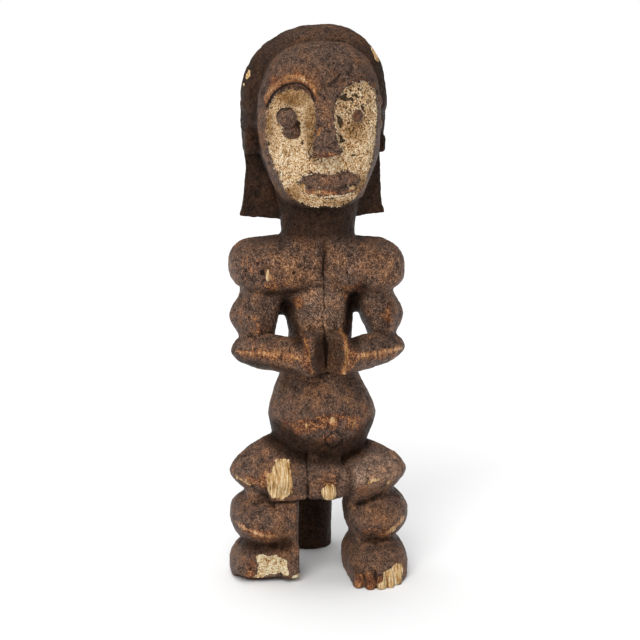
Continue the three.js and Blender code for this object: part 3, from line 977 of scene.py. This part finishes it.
class CarvedWood(Shader):
    """Dark crusted wood, worn at its edges, with whitened clay on the face and pale breaks, and with painted
    shade and painted light laid into its colour.

    Its parts are the mesh's measures and grains of several sizes, and its shares are
    numbers from 0 to 1 that say where a layer shows.
    """

    def __init__(self):
        super().__init__("carved_wood")
        for name in (*MEASURES, *CROWDING):
            self.parts[name] = self.node("Attribute", {"attribute_name": name}).outputs["Fac"]
        self.parts.update(
            broad=self.grain(30, detail=2),
            patches=self.grain(9, seed=1, detail=4, roughness=0.65),
            grit=self.grain(2.8, seed=2, roughness=0.65, stretch=1.3),
            specks=self.grain(1.2, seed=3, detail=1, roughness=0.8),
            fibre=self.grain(1.1, seed=4, roughness=0.7, stretch=14, depth=14),
            streak=self.grain(3, seed=5, stretch=7, depth=3),
            flecks=self.grain(1.9, seed=6, detail=2, roughness=0.75),
            holes=self.grain(1.6, seed=8, detail=2, roughness=0.7, stretch=1.4))
        veins = self.grain(4, seed=7, roughness=0.7, stretch=1.4)
        self.parts["veins"] = self.math("ABSOLUTE", veins)

        # Darker crust on hood, post and palms, and painted shade on the neck and in the hollows.
        self.soot = self.share(-1.2, 1.6, sooty=0.3, patches=0.6)
        self.thin = self.share(0.1, 2.6, rubbed=0.35, patches=1, grit=0.6, broad=0.3, worn=0.35, tight=-8)
        self.worn = self.share(0.2, 1.5, worn=0.55, grit=0.7, patches=0.6, streak=0.8)
        self.clay = self.share(-0.6, 0.4, clay=0.8, grit=1, patches=0.9, specks=0.9)
        self.bare = self.share(-0.3, 0.4, bare=1.2, grit=0.6, streak=1.1)
        self.chalky = self.most(self.clay, self.bare)
        dents = self.share(0.55, 0.68, holes=1, patches=0.3)
        crevices = self.share(-0.02, 0.06, veins=1, patches=0.2)
        self.dark = self.most(dents, self.blend(crevices, 0.7, 0.0))

        along = self.sum(fibre=1.1, grit=0.3)
        across = self.sum(0.42, grit=1, specks=1.1, patches=0.6)
        self.fibres = self.blend(self.share(-1, 1, broken=1), along, across)

    def crust(self):
        fine = self.scale(self.parts["specks"], self.blend(self.parts["coarse"], 0.5, 0.68))
        # Painted light: the abdomen and the top of the right thigh are made paler.
        dust = self.scale(self.share(-3.0, 5.0, dusty=1), 0.42)
        mottle = self.sum(fine, dust, broad=0.2, patches=0.26, grit=0.35)
        grey = self.tones(
            mottle, (-0.95, "140b08"), (-0.4, "43322a"), (0.0, "6c5548"), (0.4, "8b7060"), (0.95, "d4b299"))
        warm = self.tones(
            mottle, (-0.95, "160a06"), (-0.4, "452a1c"), (0.0, "724d36"), (0.4, "936a4c"), (0.95, "d8a67e"))
        crust = self.mix(self.share(-0.7, 1.1, broad=1, patches=0.8, grit=0.3), grey, warm)
        # Darkness lays the darker crust, and the painted shade of the neck and hollows, into the colour.
        return self.mix(self.scale(self.soot, 0.8), crust, colour("24160e"))

    def thinned(self, below):
        """Red-brown wood through thin crust, with lighter flecks that are partly abraded crust and partly
        painted glints, and dark dents.
        """
        red = self.tones(
            self.sum(grit=0.5, specks=0.7, streak=0.3), (-0.8, "34190d"), (0, "6c3d26"), (0.8, "a86b42"))
        result = self.mix(self.scale(self.thin, 0.72), below, red)
        thin_clean = self.sum(self.scale(self.thin, 0.6), self.scale(self.soot, -1.1))
        # Orange flecks: partly abraded crust and partly painted glints of light.
        glints = self.share(0.86, 1.0, thin_clean, flecks=1, patches=0.4, coarse=0.08)
        result = self.mix(self.scale(glints, 0.9), result, colour("c98b56"))
        dents = self.scale(self.dark, self.blend(self.parts["coarse"], 0.72, 0.95))
        return self.mix(dents, result, colour("170d08"))

    def polished(self, below):
        """Orange wood on worn edges, nicked with dark spots."""
        polish = self.tones(
            self.sum(-0.3, streak=0.5, specks=0.5, worn=0.18),
            (-0.8, "4a230e"), (-0.2, "86502a"), (0.35, "c0834a"), (0.95, "ffe2b0"))
        chipped = self.share(3.6, 4.6, tight=-14, wide=-5.6, patches=1, grit=1)
        result = self.mix(self.most(self.worn, self.scale(chipped, 0.6)), below, polish)
        nicks = self.scale(self.most(self.worn, self.thin), self.scale(self.dark, 0.72))
        return self.mix(nicks, result, colour("2a1309"))

    def whitened(self, below):
        """Pale clay, gone ochre in places and pitted; the ochre is partly painted shade."""
        pale = self.tones(
            self.sum(patches=0.4, grit=0.5, specks=1),
            (-0.9, "5a381c"), (-0.35, "bb8d5d"), (0.1, "e5c192"), (0.7, "fff2d6"))
        # Ochre on the clay, partly painted shade in the sockets and beside the nose.
        stain = self.share(-0.3, 2.2, stained=0.3, patches=1.2, grit=0.8, specks=0.6)
        ochre = self.tones(self.parts["specks"], (-0.8, "3f240d"), (0.8, "ad7c46"))
        pits = self.share(0.5, 0.62, holes=1, specks=0.3, patches=0.3, flaked=0.05)
        clay = self.mix(self.scale(pits, 0.95), self.mix(stain, pale, ochre), colour("2f1a0c"))
        return self.mix(self.clay, below, clay)

    def broken(self, below):
        """Pale bare wood: its fibres, or grit where it is broken across them."""
        wood = self.tones(self.fibres, (-0.9, "553317"), (-0.4, "b48650"), (0.1, "dcb681"), (0.8, "fff0cc"))
        return self.mix(self.bare, below, wood)

    def grimy(self, below):
        """Black cracks, and painted shade in the hollows that is fainter on clay and bare wood."""
        cracked = self.share(-0.1, 0.7, gaps=1, grit=0.6, patches=0.3)
        result = self.mix(self.scale(cracked, 0.88), below, colour("140c08"))
        # Painted shade: darker where much wood crowds round a point, as in creases and hollows.
        grime = self.share(0.3, 1.6, tight=8, wide=1.6, patches=0.15)
        return self.mix(self.scale(grime, self.blend(self.chalky, 0.8, 0.12)), result, colour("1e1109"))

    def set_gloss(self):
        dull = self.sum(0.42, grit=0.1)
        gloss = self.blend(self.most(self.worn, self.scale(self.thin, 0.5)), dull, 0.28)
        matt = self.most(self.chalky, self.soot, self.dark)
        sheen = self.blend(matt, self.blend(self.worn, 0.14, 0.6), 0.06)
        self.fill(self.surface, Roughness=self.blend(self.chalky, gloss, 0.8), Specular_IOR_Level=sheen)

    def set_bump(self):
        grains = self.sum(self.scale(self.dark, -0.6), grit=0.7, specks=0.22, patches=0.6)
        height = self.blend(self.bare, grains, self.scale(self.fibres, 0.6))
        bump = self.node("Bump", Height=height, Strength=1.0, Distance=1.2 * MM)
        self.fill(self.surface, Normal=bump.outputs["Normal"])


def carved_wood():
    wood = CarvedWood()
    layers = wood.crust()
    for layer in (wood.thinned, wood.polished, wood.whitened, wood.broken, wood.grimy):
        layers = layer(layers)
    wood.fill(wood.surface, Base_Color=layers)
    wood.set_gloss()
    wood.set_bump()
    return wood.material


# Stage

CAMERA_AZIMUTH = math.radians(-9)
CAMERA_ELEVATION = math.radians(13)
CAMERA_DISTANCE = 2.0
FOCAL_LENGTH = 124.22
SIGHT_HEIGHT = 0.23388
SIGHT_RIGHT = 0.00316


def add_camera():
    right = Vector((math.cos(CAMERA_AZIMUTH), math.sin(CAMERA_AZIMUTH), 0))
    level = Vector((math.sin(CAMERA_AZIMUTH), -math.cos(CAMERA_AZIMUTH), 0))
    back = level * math.cos(CAMERA_ELEVATION) + Vector((0, 0, math.sin(CAMERA_ELEVATION)))
    target = Vector((0, AXIS_Y * MM, SIGHT_HEIGHT)) + right * SIGHT_RIGHT
    data = bpy.data.cameras.new("camera")
    data.sensor_width = 36
    data.lens = FOCAL_LENGTH
    camera = add_object("camera", data)
    stand = Matrix((right, back.cross(right), back)).transposed().to_4x4()
    stand.translation = target + back * CAMERA_DISTANCE
    camera.matrix_world = stand
    bpy.context.scene.camera = camera


def add_light(name, source, spread, strength):
    """A broad soft light that shines from far away, spread over an angle in degrees."""
    data = bpy.data.lights.new(name, "SUN")
    data.angle = math.radians(spread)
    data.energy = strength
    light = add_object(name, data)
    light.location = source
    light.rotation_euler = (-Vector(source)).to_track_quat("-Z", "Y").to_euler()


def add_floor():
    mesh = bpy.data.meshes.new("floor")
    reach = 4.0
    corners = [(x * reach, y * reach, 0) for x, y in ((-1, -1), (1, -1), (1, 1), (-1, 1))]
    mesh.from_pydata(corners, [], [(0, 1, 2, 3)])
    paper = Shader("pale_floor")
    paper.fill(paper.surface, Base_Color=(0.84, 0.84, 0.84, 1), Roughness=0.9, Specular_IOR_Level=0.1)
    mesh.materials.append(paper.material)
    floor = add_object("floor", mesh)


def add_world():
    """A pale sky that lights softly, looks white behind the figure and hardly mirrors in it."""
    lighting, seen, mirrored_less = 0.43, 1.0, -0.3
    world = bpy.data.worlds.new("studio")
    world.use_nodes = True
    sky = Nodes(world.node_tree)
    ray = sky.node("LightPath").outputs
    level = sky.node("MapRange", Value=ray["Is Camera Ray"], To_Min=lighting, To_Max=seen)
    strength = sky.math("MULTIPLY_ADD", ray["Is Glossy Ray"], mirrored_less, level.outputs["Result"])
    sky.fill(sky.tree.nodes["Background"], Color=(1, 1, 1, 1), Strength=strength)
    bpy.context.scene.world = world


def add_stage():
    add_camera()
    add_world()
    add_floor()
    add_light("key", (-0.35, -0.85, 0.85), 40, 2.2)
    add_light("top", (-0.1, 0.3, 1.2), 50, 1.4)
    bpy.context.scene.view_settings.view_transform = "Standard"


def add_figure():
    mesh = build_surface(carve_figure())
    mesh.materials.append(carved_wood())
    figure = add_object("carved_figure", mesh)
    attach(figure, "root")
    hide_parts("figure")


add_stage()
add_figure()
